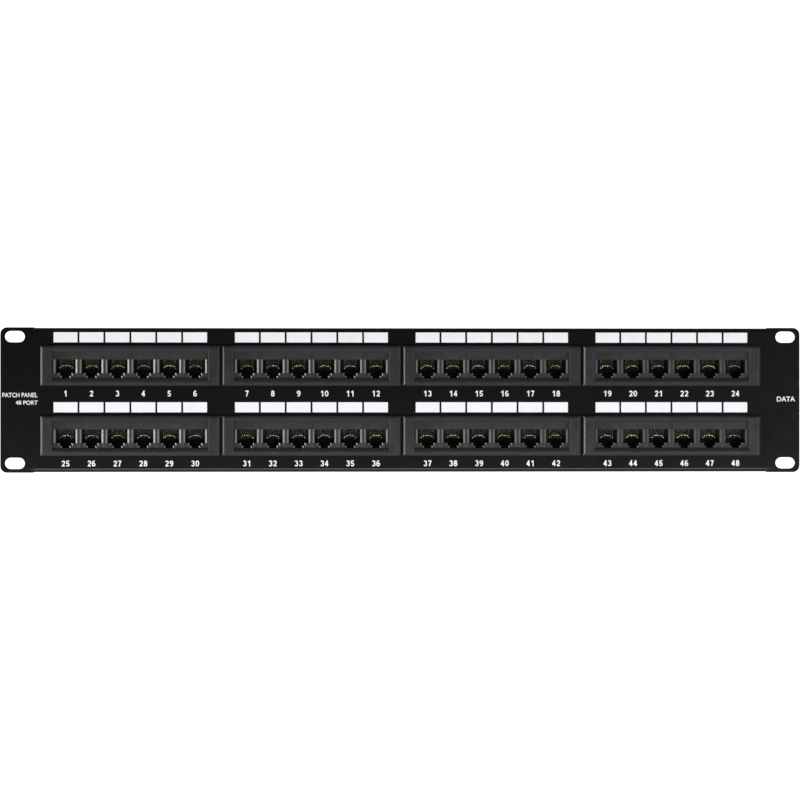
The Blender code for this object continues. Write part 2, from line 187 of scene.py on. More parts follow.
# Screws
SCREW_SIDES = 32
HEAD_HEIGHT = 1.9 * MM
HEAD_EDGE = 0.15 * MM
CROWN_HEIGHT = 0.9 * MM
CROWN_STEPS = 5
SHAFT_RADIUS = 1.0 * MM
THREADS = 20
THREAD_START = 0.4 * MM
THREAD_SPARE = 1.2 * MM
THREAD_ROOT = 0.82
POINT_LENGTH = 0.6 * MM
RECESS_DEPTH = 1.1 * MM
RECESS_RISE = 0.3 * MM
RECESS_TURN = 25.0
RECESS_HALF_LENGTH = 1.45 * MM
RECESS_HALF_WIDTH = 0.3 * MM
RECESS_FLOOR_HALF_LENGTH = 0.7 * MM
RECESS_FLOOR_HALF_WIDTH = 0.22 * MM

# Looks: the middle range of a noise, and the surround's strength, which fades with the direction's y
NOISE_LOW = 0.3
NOISE_HIGH = 0.7
SURROUND_FRONT = 0.035
SURROUND_REAR = 0.22
FADE_START = -0.9
FADE_END = -0.5

# Camera, its angles in degrees
SENSOR = 36.0
LENS = 119.2
CAMERA_DISTANCE = 1.6
CAMERA_SIDE = 1.85
CAMERA_AIM = 0.037


def clean(shape, name):
    """Turn a bmesh into a mesh with its faces pointing out."""
    bmesh.ops.recalc_face_normals(shape, faces=shape.faces)
    mesh = bpy.data.meshes.new(name)
    shape.to_mesh(mesh)
    shape.free()
    return mesh


def add_box(shape, low, high):
    """Add a box between two corners."""
    for vert in bmesh.ops.create_cube(shape, size=1.0)["verts"]:
        vert.co = [high[axis] if vert.co[axis] > 0 else low[axis] for axis in range(3)]


def add_loft(shape, rings, closed=False):
    """Add a solid through rings of as many points each, with flat ends or joined round into a ring."""
    loops = [[shape.verts.new(point) for point in ring] for ring in rings]
    count = len(loops[0])
    after = loops[1:] + loops[:1] if closed else loops[1:]
    for near, far in zip(loops, after):
        for i in range(count):
            j = (i + 1) % count
            shape.faces.new((near[i], near[j], far[j], far[i]))
    if closed:
        return []
    return [shape.faces.new(loops[0]), shape.faces.new(loops[-1])]


def rectangle(half_width, bottom, top):
    """A rectangle's (x, z) corners."""
    return [(-half_width, bottom), (half_width, bottom), (half_width, top), (-half_width, top)]


def at_depth(outline, y, x=0.0):
    """An (x, z) outline as points at one y."""
    return [(x + u, y, v) for u, v in outline]


def circle(radius, y, sides, x=0.0, z=0.0):
    """The points of a circle round an axis along Y."""
    angles = [2 * math.pi * side / sides for side in range(sides)]
    return [(x + radius * math.cos(a), y, z + radius * math.sin(a)) for a in angles]


def mark_faces(shape, known, index):
    """Give the faces after the first known ones a material index."""
    shape.faces.ensure_lookup_table()
    for face in shape.faces[known:]:
        face.material_index = index


def combine(operation, base, *others):
    """Cut meshes out of a base mesh (DIFFERENCE), or join them to it (UNION)."""
    body = bpy.data.objects.new("body", base)
    bpy.context.scene.collection.objects.link(body)
    tools = []
    for mesh in others:
        tool = bpy.data.objects.new("tool", mesh)
        bpy.context.scene.collection.objects.link(tool)
        modifier = body.modifiers.new("step", "BOOLEAN")
        modifier.operation = operation
        modifier.object = tool
        tools.append(tool)
    evaluated = body.evaluated_get(bpy.context.evaluated_depsgraph_get())
    mesh = bpy.data.meshes.new_from_object(evaluated)
    for item in [body] + tools:
        bpy.data.objects.remove(item, do_unlink=True)
    return mesh


def soften(thing, width, angle=EDGE_ANGLE, weld=False):
    """Round a piece's edges a little and smooth its shading across them."""
    if weld:
        merge = thing.modifiers.new("weld", "WELD")
        merge.merge_threshold = WELD_DISTANCE
    bevel = thing.modifiers.new("bevel", "BEVEL")
    bevel.width = width
    bevel.segments = EDGE_SEGMENTS
    bevel.limit_method = "ANGLE"
    bevel.angle_limit = math.radians(angle)
    even = thing.modifiers.new("even", "WEIGHTED_NORMAL")
    even.weight = 100
    if not weld:
        thing.data.shade_smooth()


def place(name, mesh, location, slot, *stands_for):
    """Add a piece that rides on the panel, hiding the CAD nodes it replaces; the slot argument is not used.
    """
    piece = bpy.data.objects.new(name, mesh)
    bpy.context.scene.collection.objects.link(piece)
    piece.location = location
    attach(piece, BODY)
    if stands_for:
        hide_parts(*stands_for)
    return piece


def module_places():
    """Each module's number and centre, from its bezel."""
    for number in range(1, MODULES + 1):
        low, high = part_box(f"bezel_{number}")
        yield number, (low.x + high.x) / 2, (low.z + high.z) / 2


def local_box(node):
    """A module-1 node's corners with x and z counted from the module's centre."""
    _, x, z = next(module_places())
    low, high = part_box(node)
    shift = Vector((x, 0.0, z))
    return low - shift, high - shift


def port_offsets():
    """The x of each port's centre, from its module's centre."""
    low, high = local_box("jack_housing_1")
    pitch = (high.x - low.x) / PORTS
    return [(port - (PORTS - 1) / 2) * pitch for port in range(PORTS)]


# ---------------------------------------------------------------- materials


def add_node(tree, kind, **inputs):
    """Add a node and set its inputs by name, with underscores for spaces."""
    node = tree.nodes.new(kind)
    for name, value in inputs.items():
        node.inputs[name.replace("_", " ")].default_value = value
    return node


def noise(tree, size, detail=2.0):
    """A noise of features about size metres across, fixed to the piece."""
    place_node = tree.nodes.get("place") or tree.nodes.new("ShaderNodeTexCoord")
    place_node.name = "place"
    made = add_node(tree, "ShaderNodeTexNoise", Scale=1.0 / size, Detail=detail)
    tree.links.new(place_node.outputs["Object"], made.inputs["Vector"])
    return made.outputs["Fac"]


def spread(tree, source, low, high):
    """Map a noise's middle range to low..high."""
    made = tree.nodes.new("ShaderNodeMapRange")
    made.inputs["From Min"].default_value = NOISE_LOW
    made.inputs["From Max"].default_value = NOISE_HIGH
    made.inputs["To Min"].default_value = low
    made.inputs["To Max"].default_value = high
    tree.links.new(source, made.inputs["Value"])
    return made.outputs["Result"]


def finish_material(
    name,
    colour,
    roughness,
    metallic=0.0,
    specular=0.5,
    mottle=0.15,
    mottle_size=9 * MM,
    gloss_spread=0.06,
    grain_size=0.25 * MM,
    grain_depth=0.004 * MM,
):
    """A Principled surface with mottled colour, uneven gloss and a fine grain."""
    made = bpy.data.materials.new(name)
    made.use_nodes = True
    tree = made.node_tree
    surface = tree.nodes["Principled BSDF"]
    surface.inputs["Metallic"].default_value = metallic
    surface.inputs["Specular IOR Level"].default_value = specular

    mix = tree.nodes.new("ShaderNodeMix")
    mix.data_type = "RGBA"
    mix.inputs["A"].default_value = (*[c * (1 - mottle) for c in colour], 1.0)
    mix.inputs["B"].default_value = (*[min(1.0, c * (1 + mottle)) for c in colour], 1.0)
    tree.links.new(spread(tree, noise(tree, mottle_size), 0.0, 1.0), mix.inputs["Factor"])
    tree.links.new(mix.outputs["Result"], surface.inputs["Base Color"])

    patches = noise(tree, mottle_size / 3, 4.0)
    gloss = spread(tree, patches, roughness - gloss_spread, roughness + gloss_spread)
    tree.links.new(gloss, surface.inputs["Roughness"])

    bump = add_node(tree, "ShaderNodeBump", Strength=1.0, Distance=grain_depth)
    tree.links.new(noise(tree, grain_size, 3.0), bump.inputs["Height"])
    tree.links.new(bump.outputs["Normal"], surface.inputs["Normal"])
    return made


def make_materials():
    """Every finish of the panel, by name."""
    return {
        "powder_coat": finish_material(
            "powder_coat", (0.0022, 0.0021, 0.0028), 0.3, specular=0.33, mottle=0.12,
            mottle_size=25 * MM, gloss_spread=0.02, grain_size=0.9 * MM, grain_depth=0.003 * MM,
        ),
        "bezel": finish_material(
            "bezel_plastic", (0.0155, 0.0152, 0.0178), 0.38, mottle=0.12, mottle_size=14 * MM,
            grain_depth=0.003 * MM,
        ),
        "jack": finish_material(
            "jack_plastic", (0.029, 0.029, 0.0295), 0.29, gloss_spread=0.02, grain_depth=0.002 * MM,
        ),
        "carrier": finish_material("carrier_plastic", (0.012, 0.012, 0.012), 0.5),
        "block": finish_material("block_plastic", (0.03, 0.03, 0.031), 0.45, grain_depth=0.005 * MM),
        "gold": finish_material(
            "gold_plate", (1.0, 0.87, 0.6), 0.27, metallic=1.0, mottle=0.12, mottle_size=2 * MM,
        ),
        "tin": finish_material(
            "tin_plate", (0.72, 0.71, 0.68), 0.3, metallic=1.0, mottle=0.08, mottle_size=3 * MM,
        ),
        "zinc": finish_material(
            "zinc_plate", (0.66, 0.67, 0.68), 0.3, metallic=1.0, mottle=0.1, mottle_size=2 * MM,
            grain_size=0.4 * MM,
        ),
        "solder_mask": finish_material(
            "solder_mask", (0.008, 0.085, 0.03), 0.28, mottle=0.18, mottle_size=5 * MM,
            grain_size=0.6 * MM,
        ),
        "trace": finish_material("masked_trace", (0.02, 0.17, 0.06), 0.3, mottle=0.1),
        "white_ink": finish_material(
            "white_ink", (0.71, 0.71, 0.74), 0.5, mottle=0.02, grain_depth=0.002 * MM,
        ),
        "label": finish_material("label_paper", (0.8, 0.8, 0.76), 0.6, mottle=0.03, grain_size=0.5 * MM),
        "black_ink": finish_material("black_ink", (0.01, 0.01, 0.01), 0.5),
        "pair_blue": finish_material("pair_blue", (0.02, 0.09, 0.5), 0.5),
        "pair_orange": finish_material("pair_orange", (0.8, 0.2, 0.02), 0.5),
        "pair_green": finish_material("pair_green", (0.02, 0.3, 0.07), 0.5),
        "pair_brown": finish_material("pair_brown", (0.18, 0.07, 0.02), 0.5),
    }


def paint(thing, *materials):
    """Give a piece these materials in place of its own."""
    thing.data.materials.clear()
    for item in materials:
        thing.data.materials.append(item)


# ---------------------------------------------------------------- jack blocks


def socket_ring(y, x, socket, notch, latch, levels):
    """A socket's outline at one depth: a wide cavity over a notch over a latch recess."""
    top, bottom, notch_bottom, latch_bottom = levels
    right = [
        (latch, latch_bottom),
        (latch, notch_bottom),
        (notch, notch_bottom),
        (notch, bottom),
        (socket, bottom),
        (socket, top),
    ]
    outline = right + [(-u, v) for u, v in reversed(right)]
    return at_depth(outline, y, x)


def add_ramp(shape, x, half_width, bottom, top, front):
    """Add the splayed bevel in front of one step of the notch."""
    reach = half_width + RAMP_WIDTH
    wide = [(-reach - RAMP_SPLAY, bottom), (reach + RAMP_SPLAY, bottom), (reach, top), (-reach, top)]
    narrow = rectangle(half_width, bottom, top)
    ahead = front - OVERSHOOT
    rings = [at_depth(wide, ahead, x), at_depth(wide, front, x), at_depth(narrow, front + RAMP_DEPTH, x)]
    add_loft(shape, rings)


def jack_block_mesh():
    """Six sockets with splayed mouths, contact channels, and fine grooves beside the dividers."""
    low, high = local_box("jack_housing_1")
    block = bmesh.new()
    add_box(block, low, high)

    sockets = bmesh.new()
    notch_ramps = bmesh.new()
    latch_ramps = bmesh.new()
    channels = bmesh.new()
    cavity_levels = (SOCKET_TOP, SOCKET_BOTTOM, NOTCH_BOTTOM, LATCH_BOTTOM)
    mouth_levels = (MOUTH_TOP, MOUTH_BOTTOM, NOTCH_BOTTOM - MOUTH_NOTCH_DROP, LATCH_BOTTOM - MOUTH_NOTCH_DROP)
    cavity = (SOCKET_HALF_WIDTH, NOTCH_HALF_WIDTH, LATCH_HALF_WIDTH)
    mouth = (MOUTH_HALF_WIDTH, NOTCH_HALF_WIDTH + MOUTH_NOTCH_SPREAD, LATCH_HALF_WIDTH + MOUTH_NOTCH_SPREAD)
    for x in port_offsets():
        rings = [
            socket_ring(low.y - OVERSHOOT, x, *mouth, mouth_levels),
            socket_ring(low.y, x, *mouth, mouth_levels),
            socket_ring(low.y + MOUTH_DEPTH, x, *cavity, cavity_levels),
            socket_ring(SOCKET_BACK, x, *cavity, cavity_levels),
        ]
        add_loft(sockets, rings)
        add_ramp(notch_ramps, x, NOTCH_HALF_WIDTH, NOTCH_BOTTOM, SOCKET_BOTTOM, low.y)
        add_ramp(latch_ramps, x, LATCH_HALF_WIDTH, LATCH_BOTTOM, NOTCH_BOTTOM + RAMP_OVERLAP, low.y)
        add_box(
            channels,
            (x - CHANNEL_HALF_WIDTH, CHANNEL_FRONT, SOCKET_TOP - CHANNEL_OVERLAP),
            (x + CHANNEL_HALF_WIDTH, high.y + OVERSHOOT, CHANNEL_TOP),
        )

    grooves = bmesh.new()
    pitch = (high.x - low.x) / PORTS
    above = (MOUTH_TOP + GROOVE_GAP_ABOVE, high.z + OVERSHOOT)
    below = (low.z - OVERSHOOT, MOUTH_BOTTOM - GROOVE_GAP_BELOW)
    for divider in range(1, PORTS):
        for side in (-1, 1):
            x = low.x + divider * pitch + side * DIVIDER_HALF_WIDTH
            for bottom, top in (above, below):
                add_box(
                    grooves,
                    (x - GROOVE_WIDTH / 2, low.y - OVERSHOOT, bottom),
                    (x + GROOVE_WIDTH / 2, low.y + GROOVE_DEPTH, top),
                )
    cutters = [clean(item, "cutter") for item in (sockets, notch_ramps, latch_ramps, channels, grooves)]
    return combine("DIFFERENCE", clean(block, "jack_block"), *cutters)


def make_jack_blocks(look):
    """One jack block in each module, in place of the plain CAD housing."""
    mesh = jack_block_mesh()
    for number, x, z in module_places():
        piece = place(f"jack_block_{number}", mesh, (x, 0.0, z), "jack_plastic", f"jack_housing_{number}")
        soften(piece, JACK_EDGE)
    mesh.materials.append(look)


# ---------------------------------------------------------------- spring contacts


def smooth_path(points):
    """Points on a smooth curve through a path's own points (Catmull-Rom)."""
    padded = [2 * points[0] - points[1]] + points + [2 * points[-1] - points[-2]]
    path = []
    for a, b, c, d in zip(padded, padded[1:], padded[2:], padded[3:]):
        for step in range(WIRE_STEPS):
            t = step / WIRE_STEPS
            bend = (2 * a - 5 * b + 4 * c - d) * t * t
            twist = (3 * b - a - 3 * c + d) * t ** 3
            path.append(0.5 * (2 * b + (c - a) * t + bend + twist))
    return path + [points[-1]]


def add_wire(shape, x, path):
    """Add a contact's wire, with a flattened round section, along a path in the (y, z) plane."""
    rings = []
    for i, point in enumerate(path):
        ahead = path[min(i + 1, len(path) - 1)] - path[max(i - 1, 0)]
        across = Vector((-ahead.y, ahead.x)).normalized()
        ring = []
        for side in range(WIRE_SIDES):
            angle = 2 * math.pi * (side + 0.5) / WIRE_SIDES
            offset = across * CONTACT_HALF_THICKNESS * math.sin(angle)
            ring.append((x + CONTACT_HALF_WIDTH * math.cos(angle), point.x + offset.x, point.y + offset.y))
        rings.append(ring)
    add_loft(shape, rings)


def contact_mesh():
    """Eight springs a port, down from the carrier's tongue and back at a bend; the outer ones hang lower."""
    shape = bmesh.new()
    for port in port_offsets():
        for contact in range(CONTACTS):
            offset = contact - (CONTACTS - 1) / 2
            drop = CONTACT_ARCH * max(0.0, abs(offset) - CONTACT_ARCH_START) ** 2
            held = CONTACT_PATH[:CONTACT_HELD]
            hanging = [(y, z - drop) for y, z in CONTACT_PATH[CONTACT_HELD:]]
            path = [Vector(point) * MM for point in held + hanging]
            add_wire(shape, port + offset * CONTACT_PITCH, smooth_path(path))
    return clean(shape, "spring_contacts")


def make_contacts(look):
    """The spring contacts of each module."""
    mesh = contact_mesh()
    mesh.shade_smooth()
    mesh.materials.append(look)
    for number, x, z in module_places():
        place(f"spring_contacts_{number}", mesh, (x, 0.0, z), "gold_contact")


# ---------------------------------------------------------------- termination blocks


def slot_centres():
    """The x of each termination slot, from the module's centre."""
    low, high = local_box("jack_housing_1")
    pitch = (high.x - low.x) / COMB_SLOTS
    return [(slot - (COMB_SLOTS - 1) / 2) * pitch for slot in range(COMB_SLOTS)]


def comb_outline(half_width, floor, bottom, crest):
    """A comb's edge as (x, y): pointed teeth, tall between pairs and short within them."""
    slots = slot_centres()
    edges = [-half_width] + [x + side * WIRE_SLOT / 2 for x in slots for side in (-1, 1)] + [half_width]
    points = [(-half_width, bottom)]
    for tooth, (left, right) in enumerate(zip(edges[::2], edges[1::2])):
        drop = 0.0 if tooth % 2 == 0 else SHORT_TOOTH_DROP
        shoulder = crest - drop - TOOTH_POINT
        if tooth > 0:
            points.append((left, floor))
        points += [(left, shoulder), ((left + right) / 2, crest - drop), (right, shoulder)]
        if tooth < COMB_SLOTS:
            points.append((right, floor))
    return points + [(half_width, bottom)]


def comb_mesh():
    """The base and, on each side, two toothed walls with a channel for the blades between them."""
    low, high = local_box("termination_block_1")
    base_top = low.y + COMB_BASE
    shape = bmesh.new()
    add_box(shape, low, (high.x, base_top, high.z))
    outline = comb_outline(high.x, base_top + COMB_FLOOR, base_top, high.y)
    for centre in (-COMB_CENTRE, COMB_CENTRE):
        for side in (-1, 1):
            outer = centre + side * COMB_HALF_DEPTH
            inner = outer - side * COMB_WALL
            add_loft(shape, [[(x, y, z) for x, y in outline] for z in (inner, outer)])
        for end in (-1, 1):
            x = end * (high.x - COMB_END / 2)
            half = COMB_HALF_DEPTH - COMB_WALL
            add_box(
                shape,
                (x - COMB_END / 2, base_top, centre - half),
                (x + COMB_END / 2, high.y - COMB_END_DROP, centre + half),
            )
    return clean(shape, "termination_combs")


def blade_mesh():
    """A tinned fork at each slot, turned a little across the wire."""
    low, high = local_box("termination_block_1")
    foot = low.y + COMB_BASE
    top = high.y - BLADE_DROP
    shoulder = top - BLADE_SHOULDER
    mouth = top - BLADE_MOUTH
    root = foot + BLADE_ROOT
    right = [
        (BLADE_SLIT, root),
        (BLADE_SLIT, mouth),
        (BLADE_HALF_WIDTH / 2, top),
        (BLADE_HALF_WIDTH, shoulder),
        (BLADE_HALF_WIDTH, foot),
    ]
    fork = [(-u, y) for u, y in reversed(right)] + right
    turn = Matrix.Rotation(math.radians(BLADE_TURN), 4, "Y")
    shape = bmesh.new()
    for x in slot_centres():
        for z in (-COMB_CENTRE, COMB_CENTRE):
            place_at = Matrix.Translation((x, 0.0, z)) @ turn
            faces = (-BLADE_HALF_THICKNESS, BLADE_HALF_THICKNESS)
            rings = [[place_at @ Vector((u, y, depth)) for u, y in fork] for depth in faces]
            add_loft(shape, rings)
    return clean(shape, "termination_blades")


def make_terminations(looks):
    """The toothed combs in place of each plain CAD block, with their blades."""
    combs = comb_mesh()
    combs.materials.append(looks["block"])
    blades = blade_mesh()
    blades.materials.append(looks["tin"])
    for number, x, z in module_places():
        piece = place(
            f"termination_combs_{number}", combs, (x, 0.0, z), "block_plastic", f"termination_block_{number}"
        )
        soften(piece, COMB_EDGE)
        place(f"termination_blades_{number}", blades, (x, 0.0, z), "tinned_contact")


# ---------------------------------------------------------------- words and numbers


def text_mesh(text, height, weight):
    """A word as a thin mesh of this height, centred, in the (x, z) plane and facing -Y."""
    curve = bpy.data.curves.new("text", "FONT")
    curve.body = text
    curve.size = 1.0
    curve.offset = weight
    curve.extrude = 0.5
    curve.resolution_u = TEXT_SEGMENTS
    thing = bpy.data.objects.new("text", curve)
    bpy.context.scene.collection.objects.link(thing)
    mesh = bpy.data.meshes.new_from_object(thing.evaluated_get(bpy.context.evaluated_depsgraph_get()))
    bpy.data.objects.remove(thing, do_unlink=True)
    xs = [vert.co.x for vert in mesh.vertices]
    ys = [vert.co.y for vert in mesh.vertices]
    middle = Vector(((min(xs) + max(xs)) / 2, (min(ys) + max(ys)) / 2, 0.0))
    scale = height / (max(ys) - min(ys))
    for vert in mesh.vertices:
        flat = (vert.co - middle) * scale
        vert.co = (flat.x, -vert.co.z * INK, flat.y)
    return mesh


def add_text(shape, text, x, y, z, height, weight, width):
    """Add a word to a bmesh, its middle at (x, y, z), stretched to a width if one is given."""
    mesh = text_mesh(text, height, weight)
    known = len(shape.verts)
    shape.from_mesh(mesh)
    shape.verts.ensure_lookup_table()
    fresh = shape.verts[known:]
    span = max(vert.co.x for vert in fresh) - min(vert.co.x for vert in fresh)
    stretch = width / span if width else 1.0
    for vert in fresh:
        vert.co.x *= stretch
        vert.co += Vector((x, y, z))


def arc(x, z, width, height, start, end):
    """Points along an ellipse's arc, its angles in degrees anticlockwise from +X."""
    steps = round(abs(end - start) / ARC_STEP)
    angles = [math.radians(start + (end - start) * step / steps) for step in range(steps + 1)]
    return [(x + width * math.cos(a), z + height * math.sin(a)) for a in angles]


def digit_strokes():
    """The centre lines of each digit's strokes, in a plain face 1 high and DIGIT_WIDTH wide."""
    middle = DIGIT_WIDTH / 2
    low = DIGIT_STROKE / 2
    high = 1.0 - DIGIT_STROKE / 2
    six = [arc(middle, 0.31, 0.22, 0.31 - low, 0, 360), arc(0.36, 0.48, 0.255, high - 0.48, 60, 200)]
    return {
        "0": [arc(middle, 0.5, 0.225, high - 0.5, 0, 360)],
        "1": [[(0.4, 1.0), (0.4, 0.0)], [(0.12, 0.7), (0.4, 0.89)]],
        "2": [arc(middle, 0.69, 0.215, high - 0.69, 170, -35) + [(0.14, low)], [(0.05, low), (0.6, low)]],
        "3": [arc(0.31, 0.715, 0.2, high - 0.715, 160, -90), arc(0.31, 0.3, 0.225, 0.3 - low, 90, -160)],
        "4": [[(0.43, 1.0), (0.43, 0.0)], [(0.43, 0.94), (0.1, 0.34)], [(0.03, 0.31), (0.62, 0.31)]],
        "5": [
            [(0.13, high), (0.57, high)],
            [(0.18, high), (0.12, 0.46)],
            arc(0.31, 0.32, 0.225, 0.32 - low, 145, -155),
        ],
        "6": six,
        "7": [[(0.05, high), (0.6, high)], [(0.53, high), (0.36, 0.5), (0.26, 0.0)]],
        "8": [arc(middle, 0.725, 0.185, high - 0.725, 0, 360), arc(middle, 0.3, 0.225, 0.3 - low, 0, 360)],
        "9": [[(DIGIT_WIDTH - x, 1.0 - z) for x, z in stroke] for stroke in six],
    }


def stroke_mesh(points):
    """A flat ribbon along a run of points, mitred, and joined round where the run closes."""
    line = [Vector(point) for point in points]
    closed = (line[0] - line[-1]).length < DIGIT_STROKE / 100
    if closed:
        line.pop()
    rings = []
    for i, point in enumerate(line):
        before = line[i - 1] if closed or i > 0 else point
        after = line[(i + 1) % len(line)] if closed or i < len(line) - 1 else point
        along = (after - before).normalized()
        leg = (point - before if point != before else after - point).normalized()
        side = Vector((-along.y, along.x)) * DIGIT_STROKE / 2 / along.dot(leg)
        left, right = point + side, point - side
        corners = ((left, -0.5), (right, -0.5), (right, 0.5), (left, 0.5))
        rings.append([(corner.x, y, corner.y) for corner, y in corners])
    shape = bmesh.new()
    add_loft(shape, rings, closed)
    return clean(shape, "stroke")


def digit_meshes():
    """Each digit as one flat solid, 1 high and 1 thick."""
    meshes = {}
    for digit, strokes in digit_strokes().items():
        meshes[digit] = combine("UNION", *[stroke_mesh(stroke) for stroke in strokes])
    return meshes


def add_number(shape, digits, text, x, y, z, height, behind=False):
    """Add a number to a bmesh, its middle at (x, y, z); behind turns it to be read from the rear."""
    facing = -1 if behind else 1
    start = -((len(text) - 1) * DIGIT_ADVANCE + DIGIT_WIDTH) / 2
    for i, digit in enumerate(text):
        known = len(shape.verts)
        shape.from_mesh(digits[digit])
        shape.verts.ensure_lookup_table()
        for vert in shape.verts[known:]:
            across = (start + i * DIGIT_ADVANCE + vert.co.x) * height * facing
            vert.co = (x + across, y + vert.co.y * INK, z + (vert.co.z - 0.5) * height)


# ---------------------------------------------------------------- wiring labels


def wiring_label_mesh(first_port, digits):
    """The paper strip between the combs: port numbers, with the pair colours along each comb."""
    low, high = local_box("termination_block_1")
    base_top = low.y + COMB_BASE
    paper = base_top + STRIP_THICKNESS
    shape = bmesh.new()
    add_box(
        shape,
        (low.x + STRIP_MARGIN, base_top, -STRIP_HALF_HEIGHT),
        (high.x - STRIP_MARGIN, paper, STRIP_HALF_HEIGHT),
    )
    for slot, x in enumerate(slot_centres()):
        pair = slot // 2 % len(PAIR_COLOURS)
        inner = LONG_MARK_INNER if slot % 2 == 0 else SHORT_MARK_INNER
        for side in (-1, 1):
            known = len(shape.faces)
            bottom, top = sorted((side * inner, side * MARK_OUTER))
            add_box(shape, (x - MARK_HALF_WIDTH, paper, bottom), (x + MARK_HALF_WIDTH, paper + INK, top))
            mark_faces(shape, known, 2 + pair)
    for port, x in enumerate(port_offsets()):
        known = len(shape.faces)
        number = str(first_port + port)
        add_number(shape, digits, number, x, paper + INK / 2, 0.0, STRIP_NUMBER_HEIGHT, behind=True)
        mark_faces(shape, known, 1)
    return clean(shape, "wiring_label")


def make_wiring_labels(looks, digits):
    """A strip in each module, in paper, black ink and the pair colours."""
    for number, x, z in module_places():
        mesh = wiring_label_mesh(1 + (number - 1) * PORTS, digits)
        for name in ("label", "black_ink", *PAIR_COLOURS):
            mesh.materials.append(looks[name])
        place(f"wiring_label_{number}", mesh, (x, 0.0, z), "label_strip")


# ---------------------------------------------------------------- circuit boards


def add_disc(shape, x, z, near, far, near_radius, far_radius):
    """Add a round boss along Y, from radius near_radius to far_radius."""
    add_loft(shape, [circle(near_radius, near, DISC_SIDES, x, z), circle(far_radius, far, DISC_SIDES, x, z)])


def board_detail_mesh():
    """Masked traces with their vias on the rear margins, and the blades' solder joints in front."""
    low, high = local_box("circuit_board_1")
    _, block = local_box("termination_block_1")
    slots = slot_centres()
    shape = bmesh.new()
    for slot, x in enumerate(slots):
        for side in (-1, 1):
            start = side * (block.z + TRACE_START)
            end = side * (block.z + TRACE_REACH + TRACE_STEP * (slot % TRACE_LENGTHS))
            bottom, top = sorted((start, end))
            add_box(
                shape,
                (x - TRACE_HALF_WIDTH, high.y, bottom),
                (x + TRACE_HALF_WIDTH, high.y + TRACE_THICKNESS, top),
            )
            add_disc(shape, x, end, high.y, high.y + VIA_HEIGHT, VIA_RADIUS, VIA_TOP_RADIUS)
    known = len(shape.faces)
    joint = low.y - JOINT_HEIGHT
    for x in slots:
        for z in (-COMB_CENTRE - JOINT_OFFSET, COMB_CENTRE + JOINT_OFFSET):
            add_disc(shape, x, z, low.y, joint, JOINT_RADIUS, JOINT_TOP_RADIUS)
            add_disc(shape, x, z, joint, low.y - PIN_HEIGHT, PIN_RADIUS, PIN_TIP_RADIUS)
    mark_faces(shape, known, 1)
    return clean(shape, "board_details")


def make_boards(looks):
    """The details of each module's board."""
    details = board_detail_mesh()
    details.materials.append(looks["trace"])
    details.materials.append(looks["tin"])
    for number, x, z in module_places():
        place(f"board_details_{number}", details, (x, 0.0, z), "board_laminate")


# ---------------------------------------------------------------- screws


def screw_profile(low, high):
    """A screw's (radius, y) profile: crown, head, seat, threads and end."""
    head_radius = (high.x - low.x) / 2
    seat = high.y - HEAD_HEIGHT
    root = SHAFT_RADIUS * THREAD_ROOT
    profile = []
    for step in range(1, CROWN_STEPS + 1):
        angle = math.pi / 2 * step / CROWN_STEPS
        profile.append((head_radius * math.sin(angle), high.y - CROWN_HEIGHT * (1 - math.cos(angle))))
    profile += [(head_radius, seat + HEAD_EDGE), (head_radius - HEAD_EDGE, seat), (SHAFT_RADIUS, seat)]
    pitch = (seat - low.y - THREAD_SPARE) / THREADS
    for thread in range(THREADS):
        y = seat - THREAD_START - thread * pitch
        profile += [(root, y), (SHAFT_RADIUS, y - pitch / 2)]
    return profile + [(root, low.y + POINT_LENGTH)]


def screw_mesh():
    """A pan-head screw with a crown, a cross recess and a threaded shaft, along Y."""
    low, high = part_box("screw_1_left")
    shape = bmesh.new()
    caps = add_loft(shape, [circle(radius, y, SCREW_SIDES) for radius, y in screw_profile(low, high)])
    for cap, y in zip(caps, (high.y, low.y)):
        bmesh.ops.poke(shape, faces=[cap])["verts"][0].co.y = y
    body = clean(shape, "screw")

    floor = rectangle(RECESS_FLOOR_HALF_LENGTH, -RECESS_FLOOR_HALF_WIDTH, RECESS_FLOOR_HALF_WIDTH)
    opening = rectangle(RECESS_HALF_LENGTH, -RECESS_HALF_WIDTH, RECESS_HALF_WIDTH)
    for turn in (0.0, 90.0):
        spin = Matrix.Rotation(math.radians(turn + RECESS_TURN), 4, "Y")
        arm = bmesh.new()
        add_loft(arm, [at_depth(floor, high.y - RECESS_DEPTH), at_depth(opening, high.y + RECESS_RISE)])
        bmesh.ops.transform(arm, matrix=spin, verts=arm.verts)
        body = combine("DIFFERENCE", body, clean(arm, "recess_arm"))
    return body


def make_screws(look):
    """A screw in place of each plain CAD one."""
    mesh = screw_mesh()
    mesh.materials.append(look)
    for number in range(1, MODULES + 1):
        for side in ("left", "right"):
            node = f"screw_{number}_{side}"
            low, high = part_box(node)
            centre = ((low.x + high.x) / 2, 0.0, (low.z + high.z) / 2)
            piece = place(f"pan_screw_{number}_{side}", mesh, centre, "zinc_screw", node)
            soften(piece, SCREW_EDGE, angle=SCREW_EDGE_ANGLE)


# ---------------------------------------------------------------- printing


def sheet_front():
    """The y of the sheet's front face, from the panel's box."""
    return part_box("front_panel")[0].y


def make_label_blocks(look):
    """The white writing blocks, one above each port."""
    y = sheet_front()
    shape = bmesh.new()
    for _, x, z in module_places():
        for port in port_offsets():
            centre = z + LABEL_RISE
            half = LABEL_WIDTH / 2
            add_box(
                shape,
                (x + port - half, y - INK, centre - LABEL_HEIGHT / 2),
                (x + port + half, y, centre + LABEL_HEIGHT / 2),
            )
    mesh = clean(shape, "label_blocks")
    mesh.materials.append(look)
    place("label_blocks", mesh, (0.0, 0.0, 0.0), "white_print")


